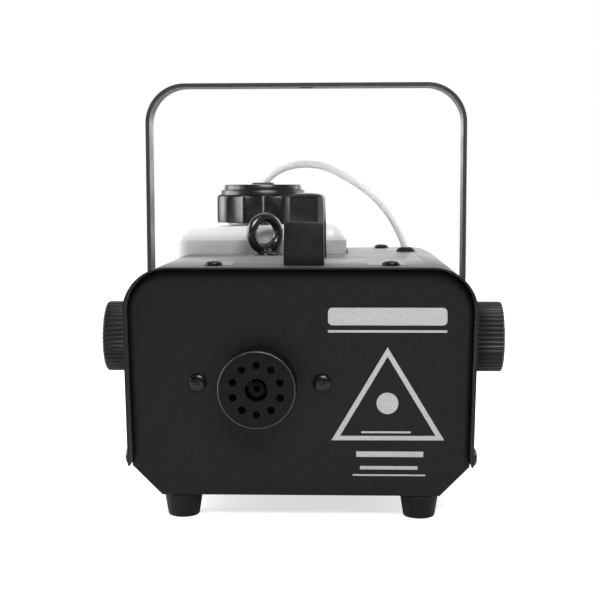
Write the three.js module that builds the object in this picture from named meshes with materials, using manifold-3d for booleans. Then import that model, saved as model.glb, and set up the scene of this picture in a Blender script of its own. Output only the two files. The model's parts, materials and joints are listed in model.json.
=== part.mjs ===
// Small stage fog machine: a black sheet-steel housing on four rubber feet, with a round fog outlet in front,
// a lift-out fluid tank, a carry handle, an eyebolt and a hanging bracket clamped by two side knobs.
// Millimetres. X runs across the front, Y from front to back and Z up. The feet stand on Z = 0.

import * as THREE from 'three';
import { mergeVertices } from 'three/addons/utils/BufferGeometryUtils.js';
import Module from 'manifold-3d';

const wasm = await Module();
wasm.setup();

// ---- Driving dimensions ----

const GAP = 0.3; // left between two pieces that touch
const SHEET = 1.2; // sheet steel
const FRONT = -122.5; // front lip of the cover
const BACK = 132.5; // rear lip of the cover
const DECK = 160; // top of the cover
const RECESS = 7.7; // the end panels stand this far inside the lips

const COVER = { half: 110, halfLow: 107.8, low: 35.5, bend: 28 };
const PAN = { low: 15.5, half: 106.2, chamfer: 18.7, flangeTop: 60 };
const TAB = { inner: 30, outer: 80, frontDepth: 22, rearDepth: 9.4 }; // tabs that take the deck screws
const PANEL_FRONT = FRONT + RECESS;
const PANEL_BACK = BACK - RECESS;
const PAN_FLOOR = PAN.low + SHEET + GAP; // where inner pieces stand

const FOOT = { x: 75.3, front: -102, back: 110, top: 12.2, bottom: 10, well: 5, wellTop: 8 };
const DECK_SCREW = { left: -55, right: 57, front: -102.5, back: 118.5 };
const SIDE_SCREW = { front: -109, back: 119, z: 39.5 };
const SCREW = { head: 5.75, height: 3.3, shank: 2, length: 9, hole: 2.6 };

const NOZZLE = { x: -25.9, z: 85.9, radius: 24.1, front: -136, face: 3, wall: 2.5 };
const NOZZLE_HOLES = { centre: 7.1, count: 10, radius: 2.4, circle: 15.2 };
const NOZZLE_SCREW = { apart: 39.1, x: -25.3, z: 87.3 };
const OUTLET = { outer: 5, bore: 2.2, tip: -131 };

const HEATER = { width: 64, low: 60, high: 112, front: -95, back: -5 };
const GUARD = { side: 11, top: 122, front: -100, back: 0, sheet: 1 };
const PUMP = { x: 66, z: 50, radius: 18, front: -30, back: 50, nipple: 3, nippleLength: 10 };

const TANK = { left: -98.3, right: 29.2, front: 31, back: 111, low: 80.2, high: 182, wall: 2 };
const TANK_EDGE = { corner: 12, chamfer: 5 };
const TRAY = { clear: 2, low: 78.6, high: 158.4, cutLeft: -75, cutZ: 148 };
const NECK = { outer: 27, inner: 24.5, top: 200 };
const CAP = { x: -35, y: 71, low: 182.4, ribs: 14, rib: 36.8, valley: 33, top: 203.4 };
const CAP_RINGS = {
  ring: 32.5, ringTop: 207.3, disc: 29.8, discTop: 211.2, boss: 9, bossTop: 212.8, well: 210.7,
};
const HOSE = { radius: 2.8, bore: 3.3 };
const GROMMET = { x: 74.2, y: 67.8, radius: 7.15, neck: 4.3, hole: 4.8 };

const HANDLE = { x: 2.15, half: 12.75, front: -105.4, back: -7, top: 205.2, foot: 18, gapTop: 187 };
const HANDLE_SCREW_INSET = 9;
const EYE = { x: -30.2, y: 17.5, z: 175.9, ring: 11.5, wire: 3.7, turn: 37, collar: 8.35, shank: 3 };

const PIVOT = { y: 9.4, z: 101.6 };
const STRAP = { inner: 110.9, thick: 2.7, half: 10, top: 282.3, bend: 28, hookHole: 5.5 };
const STUD = { radius: 4, hole: 4.6, inner: 98, outer: 133 };
const WASHER = { radius: 12, thick: 1.5 };
const KNOB = { radius: 25.3, leftEnd: 144.7, rightEnd: 140.7 };
const WELD_NUT = { radius: 9, inner: 99.6, outer: 107.5 };

const SOCKETS_Z = 48; // height of everything on the rear panel's socket row
const INLET = { x: 62, width: 24.2, height: 16.6, wall: 1.9, flangeWidth: 50, flangeHeight: 26 };
const FUSE = { x: 22, body: 6.5, bore: 5.2, flange: 8.5, cap: 7, capBack: 134.8 };
const REMOTE = { x: -20, body: 8, bore: 6.6, flange: 10 };
const SWITCH = { x: -62, halfWidth: 8.7, halfHeight: 5.7, wall: 1.3, rim: 3.5, pivot: 121, rock: 8 };
const FITTING_FACE = PANEL_BACK + GAP; // front of every flange on the rear panel

// ---- Shape helpers ----

const radians = THREE.MathUtils.degToRad;

function arc(u, v, radius, from, to, steps) {
  const points = [];
  for (let i = 0; i <= steps; i += 1) {
    const angle = radians(from + ((to - from) * i) / steps);
    points.push([u + radius * Math.cos(angle), v + radius * Math.sin(angle)]);
  }
  return points;
}

const circle = (radius, u = 0, v = 0, sides = 16) => arc(u, v, radius, 0, 360, sides).slice(0, -1);

const rectangle = (u0, v0, u1, v1) => [[u0, v0], [u1, v0], [u1, v1], [u0, v1]];

const centred = (u, v, width, height) =>
  rectangle(u - width / 2, v - height / 2, u + width / 2, v + height / 2);

const roundedRectangle = (u0, v0, u1, v1, r, steps = 4) => [
  ...arc(u1 - r, v1 - r, r, 0, 90, steps),
  ...arc(u0 + r, v1 - r, r, 90, 180, steps),
  ...arc(u0 + r, v0 + r, r, 180, 270, steps),
  ...arc(u1 - r, v0 + r, r, 270, 360, steps),
];

const mirrored = (points) => points.map(([u, v]) => [-u, v]).reverse();

const vectors = (points) => points.map(([u, v]) => new THREE.Vector2(u, v));

function outline(points, holes) {
  const shape = new THREE.Shape(vectors(points));
  shape.holes = holes.map((hole) => new THREE.Path(vectors(hole)));
  return shape;
}

// A plate or bar of one outline, from one value of an axis to another.
// The outline is in (Y, Z) for axis x, (X, Z) for axis y and (X, Y) for axis z.
function slab(axis, from, to, points, ...holes) {
  const geometry = new THREE.ExtrudeGeometry(outline(points, holes), {
    depth: to - from,
    bevelEnabled: false,
  });
  if (axis === 'z') return geometry.translate(0, 0, from);
  geometry.rotateX(Math.PI / 2);
  if (axis === 'y') return geometry.translate(0, to, 0);
  return geometry.rotateZ(Math.PI / 2).translate(from, 0, 0);
}

// A turned piece. The profile is [radius, height] pairs, from low to high along the axis.
function turned(axis, profile, sides = 24) {
  const geometry = new THREE.LatheGeometry(vectors(profile), sides);
  if (axis === 'z') return geometry.rotateX(Math.PI / 2);
  if (axis === 'x') return geometry.rotateZ(-Math.PI / 2);
  return geometry;
}

const rod = (axis, radius, from, to, u = 0, v = 0, sides = 16) =>
  slab(axis, from, to, circle(radius, u, v, sides));

function tube(points, radius, steps, sides = 8) {
  const path = new THREE.CatmullRomCurve3(points.map((p) => new THREE.Vector3(...p)), false, 'centripetal');
  return new THREE.ExtrudeGeometry(outline(circle(radius, 0, 0, sides), []), {
    steps,
    extrudePath: path,
  });
}

// ---- Joining and cutting ----

function solidOf(geometry) {
  const bare = geometry.clone();
  bare.deleteAttribute('normal');
  bare.deleteAttribute('uv');
  const merged = mergeVertices(bare, 1e-4);
  const index = merged.index.array;
  const triangles = [];
  for (let i = 0; i < index.length; i += 3) {
    const [a, b, c] = [index[i], index[i + 1], index[i + 2]];
    if (a !== b && b !== c && c !== a) triangles.push(a, b, c);
  }
  return new wasm.Manifold(new wasm.Mesh({
    numProp: 3,
    vertProperties: new Float32Array(merged.attributes.position.array),
    triVerts: new Uint32Array(triangles),
  }));
}

function geometryOf(solid) {
  const mesh = solid.getMesh();
  const geometry = new THREE.BufferGeometry();
  geometry.setAttribute('position', new THREE.BufferAttribute(new Float32Array(mesh.vertProperties), 3));
  geometry.setIndex(new THREE.BufferAttribute(new Uint32Array(mesh.triVerts), 1));
  geometry.computeVertexNormals();
  return geometry;
}

const join = (first, ...others) =>
  geometryOf(others.reduce((solid, other) => solid.add(solidOf(other)), solidOf(first)));

const cut = (first, ...tools) =>
  geometryOf(tools.reduce((solid, tool) => solid.subtract(solidOf(tool)), solidOf(first)));

const common = (first, second) => geometryOf(solidOf(first).intersect(solidOf(second)));

// ---- Finishes and nodes ----

const FINISHES = {
  powder_coat: { color: 0x1d1d1e, roughness: 0.62, metalness: 0.1 },
  inner_steel: { color: 0x9a9c9e, roughness: 0.45, metalness: 0.9 },
  black_plastic: { color: 0x161617, roughness: 0.5, metalness: 0 },
  gloss_plastic: { color: 0x0d0d0e, roughness: 0.2, metalness: 0 },
  milky_plastic: { color: 0xd9dad8, roughness: 0.4, metalness: 0 },
  clear_hose: { color: 0xe4e6e6, roughness: 0.25, metalness: 0 },
  black_screw: { color: 0x111112, roughness: 0.3, metalness: 0.8 },
  rubber: { color: 0x1a1a1a, roughness: 0.8, metalness: 0 },
  zinc: { color: 0xb9bcc0, roughness: 0.35, metalness: 1 },
  aluminium: { color: 0xc3c5c8, roughness: 0.4, metalness: 1 },
  board_green: { color: 0x1f5a36, roughness: 0.5, metalness: 0 },
  copper_pipe: { color: 0xb87a4a, roughness: 0.35, metalness: 1 },
};

const machine = new THREE.Group();

function node(name, geometry, finish, position = [0, 0, 0], rotation = [0, 0, 0]) {
  const mesh = new THREE.Mesh(geometry, new THREE.MeshStandardMaterial(FINISHES[finish]));
  mesh.name = name;
  mesh.position.set(...position);
  mesh.rotation.set(...rotation.map(radians));
  machine.add(mesh);
}

// ---- Housing ----

function coverProfile() {
  const { half, halfLow, low, bend } = COVER;
  const [u, v] = [half - bend, DECK - bend];
  const outerRight = [[halfLow, low], ...arc(u, v, bend, 0, 90, 8)];
  const innerRight = [[halfLow - SHEET, low], ...arc(u, v, bend - SHEET, 0, 90, 8)];
  return [...outerRight, ...mirrored(outerRight), ...mirrored(innerRight).reverse(), ...innerRight.reverse()];
}

function topCover() {
  const { clear } = TRAY;
  const holes = [
    slab('z', 140, 170, rectangle(
      TANK.left - clear, TANK.front - clear, TANK.right + clear, TANK.back + clear,
    )),
    rod('z', GROMMET.hole, 150, 170, GROMMET.x, GROMMET.y),
    rod('z', EYE.shank + 0.6, 150, 170, EYE.x, EYE.y),
    rod('x', STUD.hole, -120, 120, PIVOT.y, PIVOT.z),
  ];
  for (const x of [DECK_SCREW.left, DECK_SCREW.right]) {
    for (const y of [DECK_SCREW.front, DECK_SCREW.back]) holes.push(rod('z', SCREW.hole, 150, 170, x, y, 12));
  }
  for (const y of [SIDE_SCREW.front, SIDE_SCREW.back]) {
    holes.push(rod('x', SCREW.hole, -120, 120, y, SIDE_SCREW.z, 12));
  }
  for (const y of handleScrewYs()) holes.push(rod('z', SCREW.hole, 150, 170, HANDLE.x, y, 12));
  return cut(slab('y', FRONT, BACK, coverProfile()), ...holes);
}

function basePan() {
  const { low, half, chamfer, flangeTop } = PAN;
  const bevel = SHEET * Math.tan(radians(22.5));
  const outer = [[half - chamfer, low], [half, low + chamfer], [half, flangeTop]];
  const inner = [
    [half - chamfer - bevel, low + SHEET],
    [half - SHEET, low + chamfer + bevel],
    [half - SHEET, flangeTop],
  ];
  const profile = [...mirrored(outer), ...outer, ...[...inner].reverse(), ...mirrored(inner).reverse()];
  const holes = [];
  for (const x of [-FOOT.x, FOOT.x]) {
    for (const y of [FOOT.front, FOOT.back]) holes.push(rod('z', SCREW.hole, 10, 20, x, y, 12));
  }
  for (const y of [SIDE_SCREW.front, SIDE_SCREW.back]) {
    holes.push(rod('x', SCREW.hole, -120, 120, y, SIDE_SCREW.z, 12));
  }
  for (let i = 0; i < 6; i += 1) holes.push(slab('z', 10, 20, centred(NOZZLE.x, -75 + i * 11, 40, 4)));
  return cut(slab('y', PANEL_FRONT + SHEET + GAP, PANEL_BACK - SHEET - GAP, profile), ...holes);
}

function panelOutline() {
  const { half, bend } = COVER;
  const radius = bend - SHEET - 0.4;
  const right = [
    [PAN.half - PAN.chamfer, PAN.low],
    [PAN.half, PAN.low + PAN.chamfer],
    ...arc(half - bend, DECK - bend, radius, 0, 90, 8),
  ];
  return [...mirrored(right), ...right];
}

function topTabs(y0, y1, screwY) {
  const high = DECK - SHEET - 0.4;
  const tab = (x0, x1, screwX) =>
    slab('z', high - SHEET, high, rectangle(x0, y0, x1, y1), circle(SCREW.hole, screwX, screwY, 12));
  return [tab(-TAB.outer, -TAB.inner, DECK_SCREW.left), tab(TAB.inner, TAB.outer, DECK_SCREW.right)];
}

function frontPanel() {
  const plate = slab(
    'y', PANEL_FRONT, PANEL_FRONT + SHEET, panelOutline(),
    circle(9, NOZZLE.x, NOZZLE.z, 20),
    circle(SCREW.hole, NOZZLE_SCREW.x - NOZZLE_SCREW.apart, NOZZLE_SCREW.z, 12),
    circle(SCREW.hole, NOZZLE_SCREW.x + NOZZLE_SCREW.apart, NOZZLE_SCREW.z, 12),
  );
  const from = PANEL_FRONT + SHEET / 2;
  return join(plate, ...topTabs(from, from + TAB.frontDepth, DECK_SCREW.front));
}

function rearPanel() {
  const vents = [];
  for (let i = 0; i < 6; i += 1) vents.push(centred(72, 100 + i * 8, 44, 3.6));
  const plate = slab(
    'y', PANEL_BACK - SHEET, PANEL_BACK, panelOutline(),
    centred(INLET.x, SOCKETS_Z, INLET.width + 2 * INLET.wall + 0.8, INLET.height + 2 * INLET.wall + 0.8),
    circle(FUSE.body + 0.5, FUSE.x, SOCKETS_Z),
    circle(REMOTE.body + 0.5, REMOTE.x, SOCKETS_Z),
    centred(SWITCH.x, SOCKETS_Z, 2 * (SWITCH.halfWidth + SWITCH.wall + 0.4),
      2 * (SWITCH.halfHeight + SWITCH.wall + 0.4)),
    ...vents,
  );
  const to = PANEL_BACK - SHEET / 2;
  return join(plate, ...topTabs(to - TAB.rearDepth, to, DECK_SCREW.back));
}

// ---- Feet and fasteners ----

function foot() {
  const { top, bottom, well, wellTop } = FOOT;
  const high = PAN.low - GAP;
  const profile = [
    [well, 0], [bottom - 1.2, 0], [bottom, 1.2], [top, high - 0.8], [top, high],
    [SCREW.hole, high], [SCREW.hole, wellTop], [well, wellTop], [well, 0],
  ];
  return turned('z', profile, 20);
}

function footScrew() {
  const head = FOOT.wellTop - GAP;
  return turned('z', [
    [0, head - 2.6], [4, head - 2.6], [4, head], [SCREW.shank, head], [SCREW.shank, 24], [0, 24],
  ], 12);
}

// A round-headed screw standing on the plane Z = 0, with its shank below.
function domeScrew() {
  const { head, height, shank, length } = SCREW;
  const profile = [
    [0, -length], [shank, -length], [shank, GAP], [head, GAP],
    [head * 0.95, 1.2], [head * 0.6, height * 0.88],
    [0, height],
  ];
  return turned('z', profile, 12);
}

// ---- Fog outlet, heater and pump ----

function nozzleCover() {
  const { x, z, radius, front, face, wall } = NOZZLE;
  const holes = [circle(NOZZLE_HOLES.centre, x, z, 20)];
  for (let i = 0; i < NOZZLE_HOLES.count; i += 1) {
    const angle = radians(90 + (360 * i) / NOZZLE_HOLES.count);
    holes.push(circle(
      NOZZLE_HOLES.radius,
      x + NOZZLE_HOLES.circle * Math.cos(angle), z + NOZZLE_HOLES.circle * Math.sin(angle), 10,
    ));
  }
  const rim = slab(
    'y', front + face - 0.5, PANEL_FRONT - GAP, circle(radius, x, z, 40), circle(radius - wall, x, z, 32),
  );
  return join(slab('y', front, front + face, circle(radius, x, z, 40), ...holes), rim);
}

const outletPipe = () => slab(
  'y', OUTLET.tip, HEATER.front - GAP,
  circle(OUTLET.outer, NOZZLE.x, NOZZLE.z), circle(OUTLET.bore, NOZZLE.x, NOZZLE.z, 12),
);

function heaterBlock() {
  const { width, low, high, front, back } = HEATER;
  const fins = 6;
  const pitch = width / (2 * fins + 1);
  const left = NOZZLE.x - width / 2;
  const top = [];
  for (let i = 0; i <= 2 * fins; i += 1) {
    const z = i % 2 === 0 ? high : high - 5;
    top.push([left + i * pitch, z], [left + (i + 1) * pitch, z]);
  }
  return slab('y', front, back, [[left, low], [left + width, low], ...top.reverse()]);
}

function heaterGuard() {
  const { side, top, front, back, sheet } = GUARD;
  const left = NOZZLE.x - HEATER.width / 2 - side;
  const right = NOZZLE.x + HEATER.width / 2 + side;
  return slab('y', front, back, [
    [left, PAN_FLOOR], [left + sheet, PAN_FLOOR], [left + sheet, top - sheet], [right - sheet, top - sheet],
    [right - sheet, PAN_FLOOR], [right, PAN_FLOOR], [right, top], [left, top],
  ]);
}

const heaterStand = () => slab('y', -2, 2, rectangle(
  NOZZLE.x - 24, PAN_FLOOR, NOZZLE.x + 24, HEATER.low - GAP,
));

const thermostat = () => rod('x', 8, 0, 7);

function pumpBody() {
  const { radius, front, back, nipple, nippleLength } = PUMP;
  return turned('y', [
    [0, front - nippleLength], [nipple, front - nippleLength], [nipple, front], [radius - 3, front],
    [radius, front + 3], [radius, back - 3], [radius - 3, back], [nipple, back],
    [nipple, back + nippleLength], [0, back + nippleLength],
  ]);
}

function pumpBracket() {
  const saddle = PUMP.radius + 0.4;
  const swing = 33;
  return slab('y', -5, 25, [
    [PUMP.x - 19, PAN_FLOOR], [PUMP.x + 19, PAN_FLOOR], [PUMP.x + 19, 40],
    ...arc(PUMP.x, PUMP.z, saddle, -swing, -180 + swing, 8), [PUMP.x - 19, 40],
  ]);
}

const pumpFeedHose = () => tube([
  [GROMMET.x, GROMMET.y, 151], [75, 66, 130], [80, 50, 100], [84, 10, 86],
  [80, -35, 80], [71, -57, 66], [66, -57, 53], [66, -40.9, 50],
], 2.6, 26);

const heaterFeedPipe = () => tube([
  [PUMP.x, 60.9, PUMP.z], [63, 70, 50], [45, 75, 52], [20, 60, 60], [4, 35, 69], [0, 12, 78], [0, -4.6, 80],
], 2.2, 24, 6);

function controlBoard() {
  const board = slab('z', 27, 28.6, rectangle(-84, 22, -14, 94));
  const corners = [[-80, 26], [-18, 26], [-80, 90], [-18, 90]];
  const posts = corners.map(([x, y]) => rod('z', 2.5, PAN_FLOOR, 27.5, x, y, 10));
  const parts = [
    slab('z', 28, 52, rectangle(-78, 34, -54, 60)),
    slab('z', 28, 44, rectangle(-48, 34, -32, 52)),
    slab('z', 28, 40, rectangle(-74, 66, -42, 80)),
    rod('z', 6, 28, 46, -28, 74, 12),
  ];
  return join(board, ...posts, ...parts);
}

// ---- Tank, cap and hose ----

function tankTray() {
  const { clear, low, high, cutLeft, cutZ } = TRAY;
  const wall = SHEET;
  const inner = [TANK.left - clear, TANK.front - clear, TANK.right + clear, TANK.back + clear];
  const outer = [inner[0] - wall, inner[1] - wall, inner[2] + wall, inner[3] + wall];
  return cut(
    slab('z', low, high, rectangle(...outer)),
    slab('z', low + wall, high + 1, rectangle(...inner)),
    slab('z', cutZ, high + 1, rectangle(outer[0] - 1, outer[1] - 1, cutLeft, outer[3] + 1)),
  );
}

function tankBlock(inset) {
  const { corner, chamfer } = TANK_EDGE;
  const step = inset + chamfer;
  const points = roundedRectangle(
    TANK.left + step, TANK.front + step, TANK.right - step, TANK.back - step, corner - chamfer,
  );
  const geometry = new THREE.ExtrudeGeometry(outline(points, []), {
    depth: TANK.high - TANK.low - 2 * step,
    bevelSize: chamfer,
    bevelThickness: chamfer,
    bevelSegments: 2,
  });
  return geometry.translate(0, 0, TANK.low + step);
}

function fluidTank() {
  const { x, y } = CAP;
  return cut(
    join(tankBlock(0), rod('z', NECK.outer, TANK.high - 1, NECK.top, x, y, 32)),
    tankBlock(TANK.wall),
    rod('z', NECK.inner, TANK.high - 6, NECK.top + 1, x, y, 32),
  );
}

function capOutline() {
  const { ribs, rib, valley } = CAP;
  const points = [];
  const steps = 4;
  for (let i = 0; i < ribs * steps; i += 1) {
    const depth = Math.sin((Math.PI * (i % steps)) / steps);
    const angle = (2 * Math.PI * i) / (ribs * steps) - Math.PI / 2 + radians(3.3);
    const radius = rib - (rib - valley) * depth;
    points.push([radius * Math.cos(angle), radius * Math.sin(angle)]);
  }
  return points;
}

function tankCap() {
  const { low, top } = CAP;
  const { ring, ringTop, disc, discTop, boss, bossTop, well } = CAP_RINGS;
  const crown = turned('z', [
    [0, top - 1], [ring, top - 1], [ring, ringTop], [disc, ringTop], [disc, discTop], [boss, discTop],
    [boss - 1.5, bossTop], [0, bossTop],
  ], 40);
  return cut(
    join(slab('z', low, top, capOutline()), crown),
    rod('z', NECK.outer + 0.8, low - 1, NECK.top + 0.6, 0, 0, 32),
    rod('z', HOSE.bore, low, bossTop + 1, 0, 0, 12),
    rod('z', HOSE.radius + 2.4, well, bossTop + 1, 0, 0, 12),
  );
}

const pickupTube = () => turned('z', [
  [0, 83], [7, 83], [7, 98], [HOSE.radius, 99],
  [HOSE.radius, CAP_RINGS.well - 0.4], [0, CAP_RINGS.well - 0.4],
], 12);

// Held at both ends: it rises out of the cap, arches over the deck and drops through the grommet.
const HOSE_ROUTE = [
  [-34.1, 71, 212.3], [-32.5, 71, 214.2], [-30, 71, 216.8], [-26.2, 71, 219.9], [-21.2, 70.9, 222.8],
  [-15.4, 70.8, 225.0], [-8.4, 70.6, 226.4], [0.2, 70.3, 226.6], [8.8, 70.1, 225.5], [16.0, 69.9, 223.2],
  [22.8, 69.7, 220.0], [31.8, 69.4, 215.0], [42.6, 69.1, 207.9], [53.0, 68.7, 198.8], [62.2, 68.3, 187.4],
  [69.0, 68.0, 175.4], [72.6, 67.9, 167.0], [74.0, 67.8, 161.0], [74.2, 67.8, 156.0],
];

const fluidHose = () => tube(HOSE_ROUTE, HOSE.radius, 44);

function hoseGrommet() {
  const { radius, neck } = GROMMET;
  const low = DECK + GAP;
  return turned('z', [
    [HOSE.bore + 0.2, 155], [neck, 155], [neck, low], [radius, low], [radius, low + 0.9],
    [radius - 1.8, low + 2.7], [HOSE.bore + 0.6, low + 3.2], [HOSE.bore + 0.2, 155],
  ], 20);
}

// ---- Handle and eyebolt ----

function handleScrewYs() {
  return [HANDLE.front + HANDLE_SCREW_INSET, HANDLE.back - HANDLE_SCREW_INSET];
}

function handleSide() {
  const { front, back, foot: depth, gapTop, top } = HANDLE;
  const low = DECK + GAP;
  const middle = (front + back) / 2;
  const ledge = 185.4;
  const outer = [
    [front, low], [front + 1, ledge], [front + 2.6, ledge + 1.2], [front + 13, top - 1], [front + 18, top],
  ];
  const inner = [[front + depth, low], ...arc(front + depth + 12, gapTop - 12, 11, 180, 90, 4)];
  const mirror = (points) => points.map(([y, z]) => [2 * middle - y, z]);
  return [...outer, ...mirror(outer).reverse(), ...mirror(inner), ...inner.reverse()];
}

function carryHandle() {
  const { x, half, front, back, top } = HANDLE;
  const right = [[half, DECK], [half - 0.3, 186], [half - 1.3, top - 3], [half - 4, top - 1], [0, top]];
  const section = [...right, ...mirrored(right).slice(1)].map(([u, v]) => [u + x, v]);
  const body = common(
    slab('x', x - half - 1, x + half + 1, handleSide()),
    slab('y', front - 1, back + 1, section),
  );
  return cut(body, ...handleScrewYs().map((y) => rod('z', SCREW.hole, DECK, DECK + 12, x, y, 12)));
}

// The head is under the deck and the shank goes up into the handle's foot.
const handleScrew = () => turned('z', [
  [0, 154.6], [5, 154.6], [5, DECK - SHEET - GAP],
  [SCREW.shank, DECK - SHEET - GAP], [SCREW.shank, 170], [0, 170],
], 12);

function eyebolt() {
  const { z, ring, wire, turn, collar, shank } = EYE;
  const eye = new THREE.TorusGeometry(ring, wire, 10, 28);
  eye.rotateX(Math.PI / 2).rotateZ(radians(turn)).translate(0, 0, z);
  const stem = turned('z', [
    [0, 146], [shank, 146], [shank, DECK + GAP], [collar, DECK + GAP], [collar, DECK + 1.8],
    [collar - 2.6, DECK + 4.4], [0, DECK + 5],
  ], 20);
  return join(stem, eye);
}

const eyeboltNut = () => slab(
  'z', 150, DECK - SHEET - GAP, circle(7.5, 0, 0, 6), circle(EYE.shank + 0.5, 0, 0, 12),
);

// ---- Hanging bracket and knobs ----

function hangingBracket() {
  const { inner, thick, half, top, bend, hookHole } = STRAP;
  const outer = inner + thick;
  const [u, v] = [outer - bend, top - bend];
  const outerRight = [[outer, PIVOT.z], ...arc(u, v, bend, 0, 90, 8)];
  const innerRight = [[inner, PIVOT.z], ...arc(u, v, bend - thick, 0, 90, 8)];
  const profile = [
    ...outerRight, ...mirrored(outerRight), ...mirrored(innerRight).reverse(), ...innerRight.reverse(),
  ];
  const strap = slab('y', PIVOT.y - half, PIVOT.y + half, profile);
  const ends = [[-outer, -inner], [inner, outer]].map(
    ([x0, x1]) => rod('x', half, x0, x1, PIVOT.y, PIVOT.z, 24),
  );
  return cut(
    join(strap, ...ends),
    rod('x', STUD.hole, -120, 120, PIVOT.y, PIVOT.z),
    rod('z', hookHole, top - 10, top + 10, 0, PIVOT.y),
  );
}

const knobInner = STRAP.inner + STRAP.thick + WASHER.thick + 2 * GAP;

// A clamping knob along +X, with a blind hole for its stud.
function knob(end) {
  const { radius } = KNOB;
  const body = turned('x', [
    [0, knobInner], [radius - 2, knobInner], [radius, knobInner + 1.5], [radius, end - 3.5],
    [radius - 1, end - 1.2], [radius - 3.5, end], [0, end],
  ], 40);
  return cut(body, rod('x', STUD.radius + 0.4, knobInner - 1, STUD.outer + 0.4));
}

const knobStud = () => rod('x', STUD.radius, STUD.inner, STUD.outer);

function washer() {
  const from = STRAP.inner + STRAP.thick + GAP;
  return slab('x', from, from + WASHER.thick, circle(WASHER.radius, 0, 0, 24), circle(STUD.hole, 0, 0, 12));
}

const weldNut = () => slab(
  'x', WELD_NUT.inner, WELD_NUT.outer, circle(WELD_NUT.radius, 0, 0, 6), circle(STUD.hole, 0, 0, 12),
);

// ---- Rear fittings ----

function mainsInlet() {
  const { x, width, height, wall, flangeWidth, flangeHeight } = INLET;
  const z = SOCKETS_Z;
  const flange = slab('y', FITTING_FACE, FITTING_FACE + 3, centred(x, z, flangeWidth, flangeHeight));
  const body = slab('y', 103, FITTING_FACE + 1, centred(x, z, width + 2 * wall, height + 2 * wall));
  const cavity = slab('y', 108, FITTING_FACE + 5, centred(x, z, width, height));
  const places = [[-7, -2.2], [7, -2.2], [0, 2]];
  const pins = places.map(([u, v]) => slab('y', 107, 121, centred(x + u, z + v, 2, 4)));
  return join(cut(join(flange, body), cavity), ...pins);
}

function fuseHolder() {
  const { body, bore, flange } = FUSE;
  return turned('y', [
    [0, 92], [body, 92], [body, FITTING_FACE], [flange, FITTING_FACE], [flange, FITTING_FACE + 2],
    [bore, FITTING_FACE + 2], [bore, 100], [0, 100],
  ], 20);
}

function fuseCap() {
  const { bore, cap, capBack } = FUSE;
  const from = FITTING_FACE + 2 + GAP;
  const body = join(rod('y', bore - 0.5, 104, from + 1, 0, 0, 12), rod('y', cap, from, capBack, 0, 0, 12));
  return cut(body, slab('y', capBack - 2.5, capBack + 1, centred(0, 0, 20, 1.8)));
}

function remoteSocket() {
  const { body, bore, flange } = REMOTE;
  const shell = turned('y', [
    [0, 108], [body, 108], [body, FITTING_FACE], [flange, FITTING_FACE], [flange, FITTING_FACE + 2],
    [bore, FITTING_FACE + 2], [bore, 112], [0, 112],
  ], 20);
  const pins = [[-3, -2], [3, -2], [0, 3]].map(([u, v]) => rod('y', 1, 111, 120, u, v, 8));
  return join(shell, ...pins);
}

function switchFrame() {
  const { halfWidth, halfHeight, wall, rim } = SWITCH;
  const size = (extra) => [2 * (halfWidth + extra), 2 * (halfHeight + extra)];
  const flange = slab('y', FITTING_FACE, FITTING_FACE + 1.5, centred(0, 0, ...size(rim)));
  const body = slab('y', 106, FITTING_FACE + 1, centred(0, 0, ...size(wall)));
  return cut(join(flange, body), slab('y', 112, FITTING_FACE + 5, centred(0, 0, ...size(0))));
}

// The rocker stands tipped to its off side about an axis along X.
function switchRocker() {
  const { pivot, halfWidth } = SWITCH;
  const side = [[7, -4.9], [5.4, 0], [7, 4.9], [-2, 3], [-2, -3]];
  return slab('x', -halfWidth + 0.4, halfWidth - 0.4, side)
    .rotateX(radians(-SWITCH.rock)).translate(0, pivot, 0);
}

// ---- Assembly ----

node('top_cover', topCover(), 'powder_coat');
node('base_pan', basePan(), 'powder_coat');
node('front_panel', frontPanel(), 'powder_coat');
node('rear_panel', rearPanel(), 'powder_coat');

for (const [end, footY, deckY, sideY] of [
  ['front', FOOT.front, DECK_SCREW.front, SIDE_SCREW.front],
  ['rear', FOOT.back, DECK_SCREW.back, SIDE_SCREW.back],
]) {
  for (const [side, sign, deckX] of [['left', -1, DECK_SCREW.left], ['right', 1, DECK_SCREW.right]]) {
    node(`foot_${end}_${side}`, foot(), 'rubber', [sign * FOOT.x, footY, 0]);
    node(`foot_screw_${end}_${side}`, footScrew(), 'zinc', [sign * FOOT.x, footY, 0]);
    node(`deck_screw_${end}_${side}`, domeScrew(), 'black_screw', [deckX, deckY, DECK]);
    const sideX = COVER.halfLow + 0.25;
    const place = [sign * sideX, sideY, SIDE_SCREW.z];
    node(`side_screw_${end}_${side}`, domeScrew(), 'black_screw', place, [0, sign * 90, 0]);
  }
}

node('nozzle_cover', nozzleCover(), 'black_plastic');
for (const [side, sign] of [['left', -1], ['right', 1]]) {
  const x = NOZZLE_SCREW.x + sign * NOZZLE_SCREW.apart;
  node(`nozzle_screw_${side}`, domeScrew(), 'black_screw', [x, PANEL_FRONT, NOZZLE_SCREW.z], [90, 0, 0]);
}
node('outlet_pipe', outletPipe(), 'zinc');
node('heater_block', heaterBlock(), 'aluminium');
node('heater_guard', heaterGuard(), 'inner_steel');
node('heater_stand_front', heaterStand(), 'inner_steel', [0, HEATER.front + 12, 0]);
node('heater_stand_rear', heaterStand(), 'inner_steel', [0, HEATER.back - 12, 0]);
node('thermostat', thermostat(), 'zinc', [NOZZLE.x + HEATER.width / 2 + GAP, -50, NOZZLE.z]);
node('pump_body', pumpBody(), 'zinc', [PUMP.x, 0, PUMP.z]);
node('pump_bracket', pumpBracket(), 'inner_steel');
node('pump_feed_hose', pumpFeedHose(), 'clear_hose');
node('heater_feed_pipe', heaterFeedPipe(), 'copper_pipe');
node('control_board', controlBoard(), 'board_green');

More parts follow.
